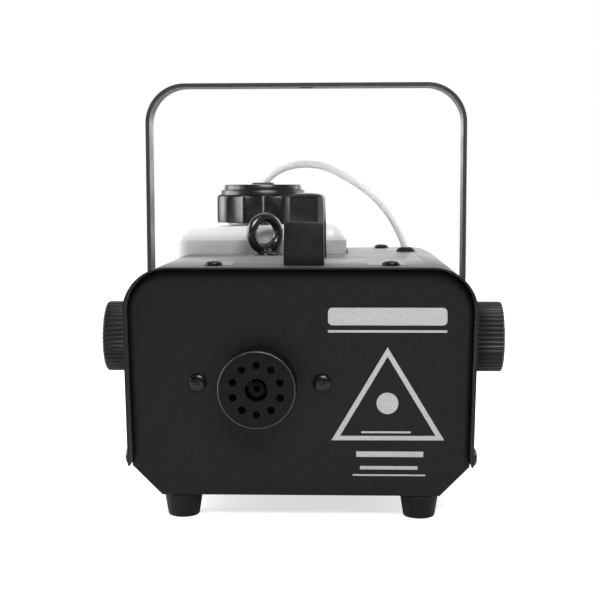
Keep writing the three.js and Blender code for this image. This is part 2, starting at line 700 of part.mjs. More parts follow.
node('tank_tray', tankTray(), 'inner_steel');
node('fluid_tank', fluidTank(), 'milky_plastic');
node('pickup_tube', pickupTube(), 'clear_hose', [CAP.x, CAP.y, 0]);
node('tank_cap', tankCap(), 'gloss_plastic', [CAP.x, CAP.y, 0]);
node('fluid_hose', fluidHose(), 'clear_hose');
node('hose_grommet', hoseGrommet(), 'rubber', [GROMMET.x, GROMMET.y, 0]);

node('carry_handle', carryHandle(), 'black_plastic');
for (const [i, y] of handleScrewYs().entries()) {
  node(`handle_screw_${['front', 'rear'][i]}`, handleScrew(), 'zinc', [HANDLE.x, y, 0]);
}
node('eyebolt', eyebolt(), 'black_screw', [EYE.x, EYE.y, 0]);
node('eyebolt_nut', eyeboltNut(), 'zinc', [EYE.x, EYE.y, 0]);

node('hanging_bracket', hangingBracket(), 'powder_coat');
for (const [side, turn, end] of [['left', 180, KNOB.leftEnd], ['right', 0, KNOB.rightEnd]]) {
  const place = [[0, PIVOT.y, PIVOT.z], [0, 0, turn]];
  node(`${side}_knob`, knob(end), 'black_plastic', ...place);
  node(`${side}_knob_stud`, knobStud(), 'zinc', ...place);
  node(`${side}_washer`, washer(), 'zinc', ...place);
  node(`${side}_weld_nut`, weldNut(), 'zinc', ...place);
}

node('mains_inlet', mainsInlet(), 'black_plastic');
node('fuse_holder', fuseHolder(), 'black_plastic', [FUSE.x, 0, SOCKETS_Z]);
node('fuse_cap', fuseCap(), 'black_plastic', [FUSE.x, 0, SOCKETS_Z]);
node('switch_frame', switchFrame(), 'black_plastic', [SWITCH.x, 0, SOCKETS_Z]);
node('switch_rocker', switchRocker(), 'gloss_plastic', [SWITCH.x, 0, SOCKETS_Z]);
node('remote_socket', remoteSocket(), 'black_plastic', [REMOTE.x, 0, SOCKETS_Z]);

export default machine;
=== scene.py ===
import json
import math

import bmesh
import bpy
from mathutils import Matrix, Vector


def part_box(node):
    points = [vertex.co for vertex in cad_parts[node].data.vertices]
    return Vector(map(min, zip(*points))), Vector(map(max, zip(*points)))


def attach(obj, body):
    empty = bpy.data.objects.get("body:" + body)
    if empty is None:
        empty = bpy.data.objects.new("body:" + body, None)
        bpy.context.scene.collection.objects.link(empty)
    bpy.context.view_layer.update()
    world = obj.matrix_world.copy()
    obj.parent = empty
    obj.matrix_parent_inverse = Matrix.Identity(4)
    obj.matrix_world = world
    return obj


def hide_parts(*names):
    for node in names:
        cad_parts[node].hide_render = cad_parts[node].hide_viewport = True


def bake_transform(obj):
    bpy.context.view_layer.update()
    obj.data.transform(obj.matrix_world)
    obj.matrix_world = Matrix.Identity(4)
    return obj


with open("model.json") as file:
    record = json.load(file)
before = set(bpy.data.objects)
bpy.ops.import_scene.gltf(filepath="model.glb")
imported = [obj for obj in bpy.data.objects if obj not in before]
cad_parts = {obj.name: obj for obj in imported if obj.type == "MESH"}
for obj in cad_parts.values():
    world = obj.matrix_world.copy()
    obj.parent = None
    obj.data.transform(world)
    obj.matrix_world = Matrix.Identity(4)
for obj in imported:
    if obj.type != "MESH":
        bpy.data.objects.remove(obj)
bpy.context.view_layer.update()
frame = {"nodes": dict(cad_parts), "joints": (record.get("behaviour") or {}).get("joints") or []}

# A small stage fog machine. Metres, in the CAD frame: X across the front, Y from front to back, Z up.

MM = 0.001
NODES = frame["nodes"]
TILT_PIVOT = Vector(next(j for j in frame["joints"] if j["name"] == "bracket_tilt")["pos_m"])


def box_middle(node):
    low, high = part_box(node)
    return (low + high) / 2


# ---- Camera: from the front, slightly above and to the right ----

CAMERA_AT = (0.0286, -0.8720, 0.2092)
CAMERA_YAW = -2.155  # degrees, turned towards -X
CAMERA_PITCH = -5.271  # degrees, looking down
CAMERA_ROLL = -0.138
FIELD_OF_VIEW = 27.53  # degrees, across the square frame


def make_camera():
    yaw, pitch, roll = (math.radians(a) for a in (CAMERA_YAW, CAMERA_PITCH, CAMERA_ROLL))
    forward = Vector((math.sin(yaw) * math.cos(pitch), math.cos(yaw) * math.cos(pitch), math.sin(pitch)))
    level = Vector((math.cos(yaw), -math.sin(yaw), 0))
    above = level.cross(forward)
    right = math.cos(roll) * level + math.sin(roll) * above
    up = math.cos(roll) * above - math.sin(roll) * level
    data = bpy.data.cameras.new("camera")
    data.sensor_width = 36
    data.angle = math.radians(FIELD_OF_VIEW)
    data.clip_end = 60
    camera = bpy.data.objects.new("camera", data)
    camera.matrix_world = Matrix.Translation(CAMERA_AT) @ Matrix((right, up, -forward)).transposed().to_4x4()
    bpy.context.scene.collection.objects.link(camera)
    bpy.context.scene.camera = camera


# ---- Mesh helpers ----

def add_mesh(name, verts, faces):
    mesh = bpy.data.meshes.new(name)
    mesh.from_pydata([tuple(v) for v in verts], [], faces)
    clean = bmesh.new()
    clean.from_mesh(mesh)
    bmesh.ops.recalc_face_normals(clean, faces=clean.faces)
    clean.to_mesh(mesh)
    clean.free()
    piece = bpy.data.objects.new(name, mesh)
    bpy.context.scene.collection.objects.link(piece)
    return piece


def loft(name, rings, closed=False):
    """A solid through rings of points. Its ends are capped, unless the last ring meets the first."""
    count = len(rings[0])
    verts = [p for ring in rings for p in ring]
    faces = []
    spans = len(rings) if closed else len(rings) - 1
    for i in range(spans):
        a, b = i * count, ((i + 1) % len(rings)) * count
        for k in range(count):
            n = (k + 1) % count
            faces.append((a + k, a + n, b + n, b + k))
    if not closed:
        faces.append(tuple(range(count))[::-1])
        faces.append(tuple(range(len(verts) - count, len(verts))))
    return add_mesh(name, verts, faces)


def to_axis(axis, u, v, along):
    """A point given across and along an axis: (Y, Z) across x, (X, Z) across y, (X, Y) across z."""
    if axis == "x":
        return Vector((along, u, v))
    if axis == "y":
        return Vector((u, along, v))
    return Vector((u, v, along))


def prism(name, axis, outline, start, end):
    return loft(name, [[to_axis(axis, u, v, a) for u, v in outline] for a in (start, end)])


def turned(name, axis, centre, profile, steps=64, closed=False, radius_at=None):
    """A turned solid: profile is (radius, place along the axis) pairs, round centre = (u, v)."""
    rings = []
    for radius, along in profile:
        ring = []
        for k in range(steps):
            angle = 2 * math.pi * k / steps
            r = radius_at(radius, along, angle) if radius_at else radius
            u, v = centre[0] + r * math.cos(angle), centre[1] + r * math.sin(angle)
            ring.append(to_axis(axis, u, v, along))
        rings.append(ring)
    return loft(name, rings, closed)


def arc(u, v, radius, start, end, steps):
    points = []
    for i in range(steps + 1):
        angle = math.radians(start + (end - start) * i / steps)
        points.append((u + radius * math.cos(angle), v + radius * math.sin(angle)))
    return points


def circle(u, v, radius, steps=32):
    return arc(u, v, radius, 0, 360, steps)[:-1]


def rectangle(u0, v0, u1, v1):
    return [(u0, v0), (u1, v0), (u1, v1), (u0, v1)]


def rounded(u0, v0, u1, v1, r, steps=6):
    return (arc(u1 - r, v1 - r, r, 0, 90, steps) + arc(u0 + r, v1 - r, r, 90, 180, steps)
            + arc(u0 + r, v0 + r, r, 180, 270, steps) + arc(u1 - r, v0 + r, r, 270, 360, steps))


def mirrored(points):
    return [(-u, v) for u, v in reversed(points)]


def rod(name, axis, centre, radius, start, end, steps=32):
    return prism(name, axis, circle(centre[0], centre[1], radius, steps), start, end)


def applied(piece):
    """Replaces the piece's mesh with what its modifiers make of it."""
    graph = bpy.context.evaluated_depsgraph_get()
    mesh = bpy.data.meshes.new_from_object(piece.evaluated_get(graph))
    piece.modifiers.clear()
    old, piece.data = piece.data, mesh
    bpy.data.meshes.remove(old)
    return piece


def combined(piece, others, operation):
    for other in others:
        change = piece.modifiers.new("combine", "BOOLEAN")
        change.operation = operation
        change.solver = "EXACT"
        change.object = other
    applied(piece)
    for other in others:
        mesh = other.data
        bpy.data.objects.remove(other)
        bpy.data.meshes.remove(mesh)
    return piece


def cut(piece, *tools):
    return combined(piece, tools, "DIFFERENCE")


def joined(piece, *others):
    return combined(piece, others, "UNION")


def softened(piece, width, segments=2, angle=32):
    """Rounds the edges sharper than angle."""
    bevel = piece.modifiers.new("edges", "BEVEL")
    bevel.width = width
    bevel.segments = segments
    bevel.limit_method = "ANGLE"
    bevel.angle_limit = math.radians(angle)
    bevel.use_clamp_overlap = True
    return applied(piece)


def smoothed(piece, angle=38):
    for face in piece.data.polygons:
        face.use_smooth = True
    piece.data.set_sharp_from_angle(angle=math.radians(angle))
    return piece


HIGHLIGHT_BAND_WIDTH = 1.5 * MM  # of the painted highlight: the paler band along a round rim


def painted_highlight(piece, mats, highlighted):
    """Gives the paler plastic, a painted highlight, to the faces for which the test on centre and normal is
    true.
    """
    piece.data.materials.append(mats["painted_highlight"])
    for face in piece.data.polygons:
        if highlighted(face.center, face.normal):
            face.material_index = 1


def placed(piece, body, material, slot, *replaced):
    """Gives a finished piece its material and its body, and hides the CAD nodes that it stands for."""
    piece.data.materials.clear()
    piece.data.materials.append(material)
    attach(piece, body)
    if replaced:
        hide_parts(*replaced)


# ---- Materials ----

def material(name, colour, roughness, metallic=0.0, **sockets):
    made = bpy.data.materials.new(name)
    made.use_nodes = True
    shader = made.node_tree.nodes["Principled BSDF"]
    shader.inputs["Base Color"].default_value = (*colour, 1)
    shader.inputs["Roughness"].default_value = roughness
    shader.inputs["Metallic"].default_value = metallic
    for socket, value in sockets.items():
        shader.inputs[socket.replace("_", " ")].default_value = value
    return made


def noise(made, scale, detail=2.0, roughness=0.5, stretch=(1, 1, 1)):
    """Noise over the object's own coordinates. scale is in features per metre."""
    tree = made.node_tree
    where = tree.nodes.new("ShaderNodeTexCoord")
    mapping = tree.nodes.new("ShaderNodeMapping")
    mapping.inputs["Scale"].default_value = stretch
    texture = tree.nodes.new("ShaderNodeTexNoise")
    texture.inputs["Scale"].default_value = scale
    texture.inputs["Detail"].default_value = detail
    texture.inputs["Roughness"].default_value = roughness
    tree.links.new(where.outputs["Object"], mapping.inputs["Vector"])
    tree.links.new(mapping.outputs["Vector"], texture.inputs["Vector"])
    return texture.outputs["Fac"]


def ranged(made, source, low, high, start=0.3, stop=0.7):
    node = made.node_tree.nodes.new("ShaderNodeMapRange")
    node.inputs["From Min"].default_value = start
    node.inputs["From Max"].default_value = stop
    node.inputs["To Min"].default_value = low
    node.inputs["To Max"].default_value = high
    made.node_tree.links.new(source, node.inputs["Value"])
    return node.outputs["Result"]


def tinted(made, source, dark, light, start=0.3, stop=0.7):
    """Base colour that runs between two colours with a source."""
    tree = made.node_tree
    mix = tree.nodes.new("ShaderNodeMix")
    mix.data_type = "RGBA"
    mix.inputs["A"].default_value = (*dark, 1)
    mix.inputs["B"].default_value = (*light, 1)
    tree.links.new(ranged(made, source, 0, 1, start, stop), mix.inputs["Factor"])
    tree.links.new(mix.outputs["Result"], tree.nodes["Principled BSDF"].inputs["Base Color"])


def rough_between(made, source, low, high):
    shader = made.node_tree.nodes["Principled BSDF"]
    made.node_tree.links.new(ranged(made, source, low, high), shader.inputs["Roughness"])


def bumped(made, source, strength, distance):
    tree = made.node_tree
    bump = tree.nodes.new("ShaderNodeBump")
    bump.inputs["Strength"].default_value = strength
    bump.inputs["Distance"].default_value = distance
    tree.links.new(source, bump.inputs["Height"])
    shader = tree.nodes["Principled BSDF"]
    previous = shader.inputs["Normal"].links
    if previous:
        tree.links.new(previous[0].from_socket, bump.inputs["Normal"])
    tree.links.new(bump.outputs["Normal"], shader.inputs["Normal"])


def powder_coat(name, shine, dust):
    made = material(
        name, (0.006, 0.006, 0.0062), 0.44, Specular_IOR_Level=shine, Sheen_Weight=dust, Sheen_Roughness=0.3,
    )
    tinted(made, noise(made, 260, 4), (0.0048, 0.0048, 0.005), (0.0078, 0.0078, 0.008))
    rough_between(made, noise(made, 35, 3), 0.41, 0.47)
    bumped(made, noise(made, 1300, 3), 0.3, 0.00014)
    return made


def bracket_coat():
    made = material("bracket_coat", (0.02, 0.02, 0.021), 0.42)
    tinted(made, noise(made, 200, 4), (0.017, 0.017, 0.018), (0.025, 0.025, 0.026))
    rough_between(made, noise(made, 60, 3), 0.38, 0.48)
    bumped(made, noise(made, 1700, 3), 0.2, 0.0001)
    return made


def moulded_plastic():
    made = material("moulded_plastic", (0.0075, 0.0075, 0.0078), 0.38, Specular_IOR_Level=0.28)
    tinted(made, noise(made, 150, 3), (0.006, 0.006, 0.0063), (0.009, 0.009, 0.0093))
    rough_between(made, noise(made, 90, 3), 0.33, 0.43)
    bumped(made, noise(made, 2600, 2), 0.15, 0.00006)
    return made


def nozzle_plastic():
    made = material("nozzle_plastic", (0.0045, 0.0045, 0.0047), 0.4, Specular_IOR_Level=0.12)
    tinted(made, noise(made, 300, 4), (0.0035, 0.0035, 0.0037), (0.006, 0.006, 0.0062))
    rough_between(made, noise(made, 120, 3), 0.36, 0.48)
    bumped(made, noise(made, 2200, 3), 0.2, 0.00008)
    return made


def painted_highlight_plastic():
    """The same plastic, paler and glossier: a painted highlight along an edge."""
    made = material("painted_highlight_plastic", (0.04, 0.04, 0.04), 0.35)
    tinted(made, noise(made, 700, 4), (0.02, 0.02, 0.02), (0.065, 0.065, 0.065))
    rough_between(made, noise(made, 300, 3), 0.28, 0.42)
    bumped(made, noise(made, 2000, 2), 0.15, 0.00005)
    return made


def gloss_plastic():
    made = material("gloss_plastic", (0.010, 0.010, 0.011), 0.3)
    tinted(made, noise(made, 120, 3), (0.008, 0.008, 0.009), (0.013, 0.013, 0.014))
    rough_between(made, noise(made, 220, 4), 0.25, 0.36)
    bumped(made, noise(made, 420, 2), 0.08, 0.0002)
    return made


def milky_plastic():
    made = material(
        "milky_plastic", (0.75, 0.755, 0.75), 0.34, Subsurface_Weight=0.6, Subsurface_Scale=0.012,
        Subsurface_Radius=(1.0, 1.0, 0.95), IOR=1.5,
    )
    tinted(made, noise(made, 55, 4), (0.72, 0.725, 0.72), (0.78, 0.785, 0.78))
    rough_between(made, noise(made, 140, 3), 0.3, 0.42)
    bumped(made, noise(made, 90, 3), 0.1, 0.0005)
    bumped(made, noise(made, 1400, 2), 0.1, 0.00008)
    return made


def clear_hose():
    made = material(
        "clear_hose", (0.84, 0.845, 0.845), 0.45, Transmission_Weight=0.15, IOR=1.2,
        Subsurface_Weight=0.8, Subsurface_Scale=0.006, Subsurface_Radius=(1.0, 1.0, 1.0),
    )
    tinted(made, noise(made, 60, 2), (0.83, 0.835, 0.835), (0.85, 0.855, 0.855))
    rough_between(made, noise(made, 90, 2), 0.42, 0.48)
    bumped(made, noise(made, 120, 1), 0.02, 0.00003)
    return made


def black_oxide():
    made = material("black_oxide", (0.005, 0.005, 0.0055), 0.24, Specular_IOR_Level=0.35)
    tinted(made, noise(made, 400, 4), (0.003, 0.003, 0.0033), (0.007, 0.007, 0.0075))
    rough_between(made, noise(made, 500, 4), 0.18, 0.3)
    bumped(made, noise(made, 1300, 3), 0.08, 0.0001)
    return made


def cast_black():
    """Glossy black plating over a pitted casting."""
    made = material("cast_black", (0.014, 0.014, 0.015), 0.2, Coat_Weight=0.6, Coat_Roughness=0.1)
    tinted(made, noise(made, 900, 5, 0.7), (0.008, 0.008, 0.009), (0.05, 0.05, 0.05), 0.5, 0.72)
    rough_between(made, noise(made, 600, 5), 0.12, 0.35)
    bumped(made, noise(made, 650, 4, 0.7), 0.5, 0.0003)
    return made


# Near-black steel for the outlet pipe: painted shade, for its end that sits deep in the outlet's hole.
def painted_shade_steel():
    made = material("painted_shade_steel", (0.004, 0.004, 0.004), 0.7, Specular_IOR_Level=0.1)
    tinted(made, noise(made, 500, 4), (0.003, 0.003, 0.003), (0.007, 0.007, 0.0065))
    bumped(made, noise(made, 900, 3), 0.2, 0.0001)
    return made


def rubber():
    made = material("rubber", (0.006, 0.006, 0.0063), 0.6, Specular_IOR_Level=0.2)
    tinted(made, noise(made, 300, 4), (0.0045, 0.0045, 0.0048), (0.008, 0.008, 0.0084))
    rough_between(made, noise(made, 150, 4), 0.52, 0.68)
    bumped(made, noise(made, 900, 4), 0.25, 0.0002)
    return made


def brushed(name, dark, light, scale, low, high, stretch=(1, 1, 1)):
    made = material(name, light, (low + high) / 2, 1.0)
    tinted(made, noise(made, scale, 5, 0.6, stretch), dark, light)
    rough_between(made, noise(made, scale * 1.7, 4, 0.6, stretch), low, high)
    bumped(made, noise(made, scale * 3, 3, 0.6, stretch), 0.15, 0.0001)
    return made


def circuit_board():
    made = material("circuit_board", (0.04, 0.18, 0.08), 0.45)
    tinted(made, noise(made, 160, 6), (0.015, 0.10, 0.04), (0.05, 0.24, 0.11), 0.42, 0.58)
    bumped(made, noise(made, 700, 2), 0.2, 0.0002)
    return made


def print_ink(name, low, high, grain):
    """A screen print: fine dots of ink that let a little of the coat show."""
    made = material(name, high, 0.55)
    tinted(made, noise(made, grain, 3, 0.7), low, high, 0.36, 0.6)
    bumped(made, noise(made, 1500, 3), 0.15, 0.0001)
    return made


def make_materials():
    return {
        "powder": powder_coat("powder_coat", 0.2, 0.0),
        "cover": powder_coat("cover_coat", 0.24, 0.35),
        "bracket": bracket_coat(),
        "moulded": moulded_plastic(),
        "nozzle": nozzle_plastic(),
        # Paler plastic for painted highlights on rims and edges.
        "painted_highlight": painted_highlight_plastic(),
        "cast": cast_black(),
        "gloss": gloss_plastic(),
        "milky": milky_plastic(),
        "hose": clear_hose(),
        "oxide": black_oxide(),
        # Near-black steel: painted shade for the pipe inside the outlet.
        "painted_shade": painted_shade_steel(),
        "rubber": rubber(),
        "steel": brushed("inner_steel", (0.42, 0.43, 0.44), (0.58, 0.59, 0.60), 120, 0.3, 0.5, (1, 12, 1)),
        "zinc": brushed("zinc", (0.50, 0.51, 0.53), (0.68, 0.69, 0.71), 240, 0.25, 0.42),
        "aluminium": brushed("aluminium", (0.55, 0.56, 0.57), (0.74, 0.75, 0.76), 300, 0.35, 0.55),
        "copper": brushed("copper", (0.55, 0.27, 0.15), (0.78, 0.46, 0.30), 200, 0.25, 0.45),
        "board": circuit_board(),
        "ink": print_ink("white_ink", (0.30, 0.30, 0.30), (0.48, 0.48, 0.48), 1800),
        "faint_ink": print_ink("faint_ink", (0.13, 0.13, 0.13), (0.30, 0.30, 0.30), 900),
    }


# ---- Hose ----

# The route of the hose, the CAD tube's own points: out of the cap, over the deck and into the grommet.
HOSE_ROUTE_MM = (
    (-34.1, 71, 212.3), (-32.5, 71, 214.2), (-30, 71, 216.8), (-26.2, 71, 219.9), (-21.2, 70.9, 222.8),
    (-15.4, 70.8, 225.0), (-8.4, 70.6, 226.4), (0.2, 70.3, 226.6), (8.8, 70.1, 225.5), (16.0, 69.9, 223.2),
    (22.8, 69.7, 220.0), (31.8, 69.4, 215.0), (42.6, 69.1, 207.9), (53.0, 68.7, 198.8), (62.2, 68.3, 187.4),
    (69.0, 68.0, 175.4), (72.6, 67.9, 167.0), (74.0, 67.8, 161.0), (74.2, 67.8, 156.0),
)
HOSE_RADIUS = 2.8 * MM


def smooth_path(points, steps):
    """A Catmull-Rom curve through the points."""
    path = []
    last = len(points) - 1
    for i in range(last):
        before, a, b, after = (points[max(0, min(last, j))] for j in (i - 1, i, i + 1, i + 2))
        for k in range(steps):
            t = k / steps
            path.append(0.5 * ((2 * a) + (b - before) * t + (2 * before - 5 * a + 4 * b - after) * t ** 2
                               + (3 * a - before - 3 * b + after) * t ** 3))
    return path + [points[-1]]


def tube_rings(path, radius, steps=20):
    rings = []
    for i, point in enumerate(path):
        along = (path[min(i + 1, len(path) - 1)] - path[max(i - 1, 0)]).normalized()
        side = along.cross(Vector((0, 1, 0))).normalized()
        over = along.cross(side)
        rings.append([
            point + radius * (math.cos(a) * side + math.sin(a) * over)
            for a in (2 * math.pi * k / steps for k in range(steps))
        ])
    return rings


def make_hose(mats):
    path = smooth_path([Vector(p) * MM for p in HOSE_ROUTE_MM], 5)
    hose = smoothed(loft("hose", tube_rings(path, HOSE_RADIUS)))
    hose.data.materials.append(mats["hose"])
    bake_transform(hose)
    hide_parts("fluid_hose")


# ---- Housing ----

SHEET = 1.2 * MM
BEND = 28 * MM  # outer radius, of the cover's top bends and the bracket's
COVER_LEAN = 2.2 * MM  # each side wall's lower edge stands this much further in than its top
TANK_OPENING_GAP = 0.7 * MM
TANK_OPENING_CORNER = 12.5 * MM
HOSE_HOLE = 4.8 * MM  # radius, as for the other holes
SCREW_HOLE = 2.6 * MM
OUTLET_HOLE = 9 * MM
TAB_REACHES = (30 * MM, 80 * MM)  # where a front tab starts and ends, from the middle
PANEL_CHAMFER = 18.7 * MM
PANEL_BEND = 26.4 * MM


def cover_line(inset):
    """The right half of the cover's section, from its lower edge to where its bend meets the flat deck."""
    low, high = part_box("top_cover")
    lower_edge = (high.x - COVER_LEAN - inset, low.z)
    return [lower_edge] + arc(high.x - BEND, high.z - BEND, BEND - inset, 0, 90, 24)


def make_cover(mats):
    low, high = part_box("top_cover")
    outer, inner = cover_line(0), cover_line(SHEET)
    outline = outer + mirrored(outer) + mirrored(inner)[::-1] + inner[::-1]
    cover = prism("cover", "y", outline, low.y, high.y)
    tank_low, tank_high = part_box("fluid_tank")
    gap = TANK_OPENING_GAP
    opening = prism("opening", "z", rounded(
        tank_low.x - gap, tank_low.y - gap, tank_high.x + gap, tank_high.y + gap, TANK_OPENING_CORNER,
    ), high.z - 20 * MM, high.z + 10 * MM)
    middle = box_middle("hose_grommet")
    hose_hole = rod("hose_hole", "z", (middle.x, middle.y), HOSE_HOLE, high.z - 10 * MM, high.z + 10 * MM)
    cut(cover, opening, hose_hole)
    softened(cover, 0.4 * MM, 2, 40)
    placed(smoothed(cover, 30), "housing", mats["cover"], "powder_coat", "top_cover")


def inset_outline(points, distances):
    """An anticlockwise convex outline moved inwards, by its own distance at each point."""
    moved = []
    count = len(points)
    for i in range(count):
        before, here, after = (Vector(points[j % count]) for j in (i - 1, i, i + 1))
        a, b = (here - before).normalized(), (after - here).normalized()
        along = (a + b).normalized()
        reach = distances[i] / max(0.4, a.dot(along))
        moved.append((here.x - along.y * reach, here.y + along.x * reach))
    return moved


def make_front_panel(mats):
    """A pressed plate whose edges roll back inside the cover, with two tabs for the deck screws."""
    low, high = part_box("front_panel")
    pan_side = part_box("base_pan")[1].x
    start, stop = Vector((pan_side, low.z + PANEL_CHAMFER)), Vector((high.x, high.z - PANEL_BEND))
    right = [(pan_side - PANEL_CHAMFER, low.z)] + [tuple(start.lerp(stop, k / 10)) for k in range(10)]
    right += arc(high.x - PANEL_BEND, high.z - PANEL_BEND, PANEL_BEND, 0, 90, 18)
    outline = right + mirrored(right)
    # The roll of the edge: 1.3 mm round the lower corners, growing to 4.5 mm on the sides and top.
    rolls = [(1.3 + 3.2 * min(1, max(0, (z - start.y) / (9 * MM)))) * MM for x, z in outline]

    def ring(thick, angle):
        insets = [thick + (roll - thick) * (1 - math.cos(angle)) for roll in rolls]
        backs = [thick + 0.6 * (roll - thick) * (1 - math.sin(angle)) for roll in rolls]
        return [Vector((x, low.y + back, z)) for (x, z), back in zip(inset_outline(outline, insets), backs)]

    quarter = [math.radians(90 * i / 8) for i in range(9)]
    plate = loft("front_plate", [ring(0, a) for a in reversed(quarter)] + [ring(SHEET, a) for a in quarter])
    holes = []
    for node, radius, steps in (
        ("nozzle_cover", OUTLET_HOLE, 40), ("nozzle_screw_left", SCREW_HOLE, 32),
        ("nozzle_screw_right", SCREW_HOLE, 32),
    ):
        middle = box_middle(node)
        holes.append(rod("hole", "y", (middle.x, middle.z), radius, low.y - 5 * MM, low.y + 8 * MM, steps))
    cut(plate, *holes)
    for side in ("left", "right"):
        screw = box_middle("deck_screw_front_" + side)
        start_x, end_x = sorted(math.copysign(reach, screw.x) for reach in TAB_REACHES)
        tab = prism("tab", "z", rectangle(start_x, low.y + 3.4 * MM, end_x, high.y), high.z - SHEET, high.z)
        cut(tab, rod("hole", "z", (screw.x, screw.y), SCREW_HOLE, high.z - 5 * MM, high.z + 5 * MM))
        placed(softened(tab, 0.2 * MM, 1), "housing", mats["powder"], "powder_coat")
    placed(smoothed(plate, 40), "housing", mats["powder"], "powder_coat", "front_panel")


# ---- Round-head screws ----

HEAD_RADIUS = 5.75 * MM
HEAD_HEIGHT = 3.0 * MM
HEAD_RIM = 0.7 * MM  # height of the upright rim under the dome
SCREW_SPIN = 37  # degrees from one screw's cross to the next


def screw_head(name, radius, height):
    """A domed head on the plane z = 0, with a cross recess."""
    profile = [(radius * 0.985, 0), (radius, 0.25 * MM), (radius, HEAD_RIM)]
    for i in range(1, 13):
        angle = math.radians(90 * i / 13)
        profile.append((radius * math.cos(angle) ** 0.85, HEAD_RIM + (height - HEAD_RIM) * math.sin(angle)))
    profile.append((0.04 * radius, height))
    head = turned(name, "z", (0, 0), profile, 48)
    slots = []
    for wide, thin in ((0.4 * radius, 0.09 * radius), (0.09 * radius, 0.4 * radius)):
        top = [Vector((x, y, height + 1 * MM)) for x, y in rectangle(-wide, -thin, wide, thin)]
        deep = [Vector((x * 0.6, y * 0.7, height * 0.6)) for x, y in rectangle(-wide, -thin, wide, thin)]
        slots.append(loft("slot", [deep, top]))
    cut(head, *slots)
    return smoothed(softened(head, 0.08 * MM, 1, 40), 35)


def make_screws(mats):
    """Places a copy of the head on each round-head screw, facing away from its shank."""
    pattern = screw_head("screw_head", HEAD_RADIUS, HEAD_HEIGHT)
    screws = [n for n in sorted(NODES) if "_screw" in n and n.split("_")[0] in ("deck", "nozzle", "side")]
    for count, node in enumerate(screws):
        low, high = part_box(node)
        at = (low + high) / 2
        if node.startswith("deck"):
            at.z, turn = high.z - HEAD_HEIGHT, Matrix.Identity(4)
        elif node.startswith("nozzle"):
            at.y, turn = low.y + HEAD_HEIGHT, Matrix.Rotation(math.radians(90), 4, "X")
        elif node.endswith("right"):
            at.x, turn = high.x - HEAD_HEIGHT, Matrix.Rotation(math.radians(90), 4, "Y")
        else:
            at.x, turn = low.x + HEAD_HEIGHT, Matrix.Rotation(math.radians(-90), 4, "Y")
        piece = bpy.data.objects.new(node + "_head", pattern.data.copy())
        bpy.context.scene.collection.objects.link(piece)
        spin = Matrix.Rotation(math.radians(SCREW_SPIN * count), 4, "Z")
        piece.data.transform(Matrix.Translation(at) @ turn @ spin)
        placed(piece, "housing", mats["oxide"], "black_screw", node)
    bpy.data.objects.remove(pattern)


# ---- Fog outlet ----

NOZZLE_WALL = 2.5 * MM
NOZZLE_FACE = 3 * MM
NOZZLE_CORNER = 1.1 * MM
MIDDLE_HOLE = 7.1 * MM
SMALL_HOLES = 10
SMALL_HOLE = 2.4 * MM
SMALL_HOLE_CIRCLE = 15.2 * MM


def make_nozzle(mats):
    low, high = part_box("nozzle_cover")
    middle = (low + high) / 2
    radius = (high.x - low.x) / 2
    rim = [(radius, high.y)] + [
        (radius - NOZZLE_CORNER + r, low.y + NOZZLE_CORNER - s) for r, s in arc(0, 0, NOZZLE_CORNER, 0, 90, 5)
    ]
    back = low.y + NOZZLE_FACE
    inner = [(2 * MM, low.y), (2 * MM, back), (radius - NOZZLE_WALL, back), (radius - NOZZLE_WALL, high.y)]
    cover = turned("nozzle", "y", (middle.x, middle.z), rim + inner, 96, closed=True)
    tools = [rod("hole", "y", (middle.x, middle.z), MIDDLE_HOLE, low.y - 5 * MM, low.y + 6 * MM, 48)]
    for i in range(SMALL_HOLES):
        angle = math.radians(90 + 360 / SMALL_HOLES * i)
        at = (middle.x + SMALL_HOLE_CIRCLE * math.cos(angle), middle.z + SMALL_HOLE_CIRCLE * math.sin(angle))
        tools.append(rod("hole", "y", at, SMALL_HOLE, low.y - 5 * MM, low.y + 6 * MM, 24))
    cut(cover, *tools)
    softened(cover, 0.22 * MM, 2, 50)
    placed(smoothed(cover, 40), "housing", mats["nozzle"], "black_plastic", "nozzle_cover")
    # The rim's rounded faces get the paler plastic: a painted highlight.
    painted_highlight(cover, mats, lambda centre, normal: 0.25 < -normal.y < 0.93 and (
        math.hypot(centre.x - middle.x, centre.z - middle.z) > radius - HIGHLIGHT_BAND_WIDTH))


# ---- Feet ----

def make_feet(mats):
    for node in sorted(n for n in NODES if n.startswith("foot_") and "screw" not in n):
        low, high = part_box(node)
        middle = (low + high) / 2
        top = (high.x - low.x) / 2
        profile = [(5 * MM, 0), (8.7 * MM, 0), (9.6 * MM, 0.3 * MM), (10.1 * MM, 1.3 * MM)]
        profile += [(top - 0.1 * MM, high.z - 1.2 * MM), (top, high.z - 0.6 * MM), (top - 0.3 * MM, high.z)]
        profile += [(2.6 * MM, high.z), (2.6 * MM, 8 * MM), (5 * MM, 8 * MM)]
        foot = turned(node + "_rubber", "z", (middle.x, middle.y), profile, 64, closed=True)
        softened(foot, 0.3 * MM, 2, 35)
        placed(smoothed(foot, 30), "housing", mats["rubber"], "rubber", node)


# ---- Tank and cap ----

TANK_TOP = 182 * MM  # of the shoulders; the neck stands on them
TANK_SEAM = 170.3 * MM
TANK_CORNER = 12 * MM
TANK_WALL = 2.4 * MM
TANK_CLEARANCE = 0.2 * MM  # how far the walls stand inside the CAD tank's
NECK_TOP = 200 * MM
NECK_RADIUS = 27 * MM
NECK_BORE = 24.5 * MM


